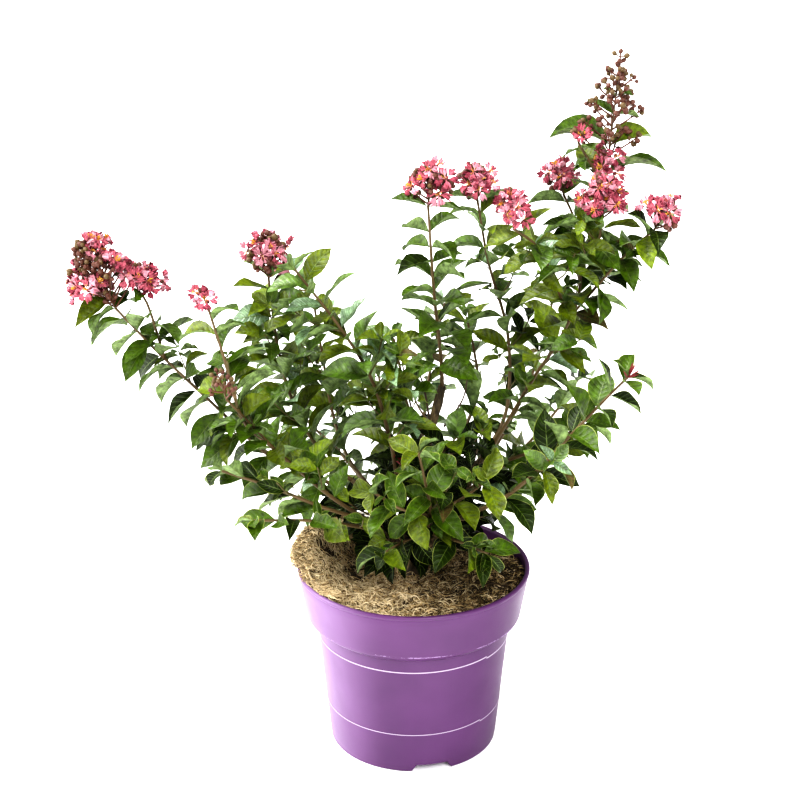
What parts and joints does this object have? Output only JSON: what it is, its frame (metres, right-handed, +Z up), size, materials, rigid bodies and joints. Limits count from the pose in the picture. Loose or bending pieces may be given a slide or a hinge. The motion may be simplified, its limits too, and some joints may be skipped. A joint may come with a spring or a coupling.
{
  "type": "crape myrtle shrub in a nursery pot",
  "caption": "Small flowering crape myrtle shrub with leafy ascending shoots and pink panicles, growing through a coir mulch mat in a round tapered plastic nursery pot.",
  "frame": {"origin": "centre of the pot's flat underside, on the ground", "axes": "+Z up, +X to the plant's right as seen from the front, +Y to its back"},
  "size_m": [0.6768, 0.4949, 0.8461],
  "materials": {
    "pot": "satin injection-moulded polypropylene",
    "potting_mix": "moist peat and bark potting mix",
    "coir": "matted coir fibre",
    "bark": "thin flaky bark",
    "foliage": "living leaves, twigs, buds and petals"
  },
  "bodies": {
    "root": {"bough_back": "bark", "bough_back_left": "bark", "bough_back_right": "bark", "bough_far_left": "bark", "bough_front": "bark", "bough_front_left": "bark", "bough_inner_left": "bark", "bough_inner_right": "bark", "bough_low_right": "bark", "bough_old_centre": "bark", "bough_right": "bark", "bough_upper_left": "bark", "mulch_disc": "coir", "pot": "pot", "potting_mix": "potting_mix", "shoot_back": "foliage", "shoot_back_left": "foliage", "shoot_back_right": "foliage", "shoot_centre": "foliage", "shoot_centre_left": "foliage", "shoot_centre_right": "foliage", "shoot_far_left": "foliage", "shoot_front": "foliage", "shoot_front_left": "foliage", "shoot_inner_left": "foliage", "shoot_inner_right": "foliage", "shoot_low_back": "foliage", "shoot_low_back_right": "foliage", "shoot_low_left": "foliage", "shoot_low_right": "foliage", "shoot_lowest_left": "foliage", "shoot_mid_right": "foliage", "shoot_right": "foliage", "shoot_thin_left": "foliage", "shoot_upper_left": "foliage", "trunk": "bark"}
  },
  "joints": []
}
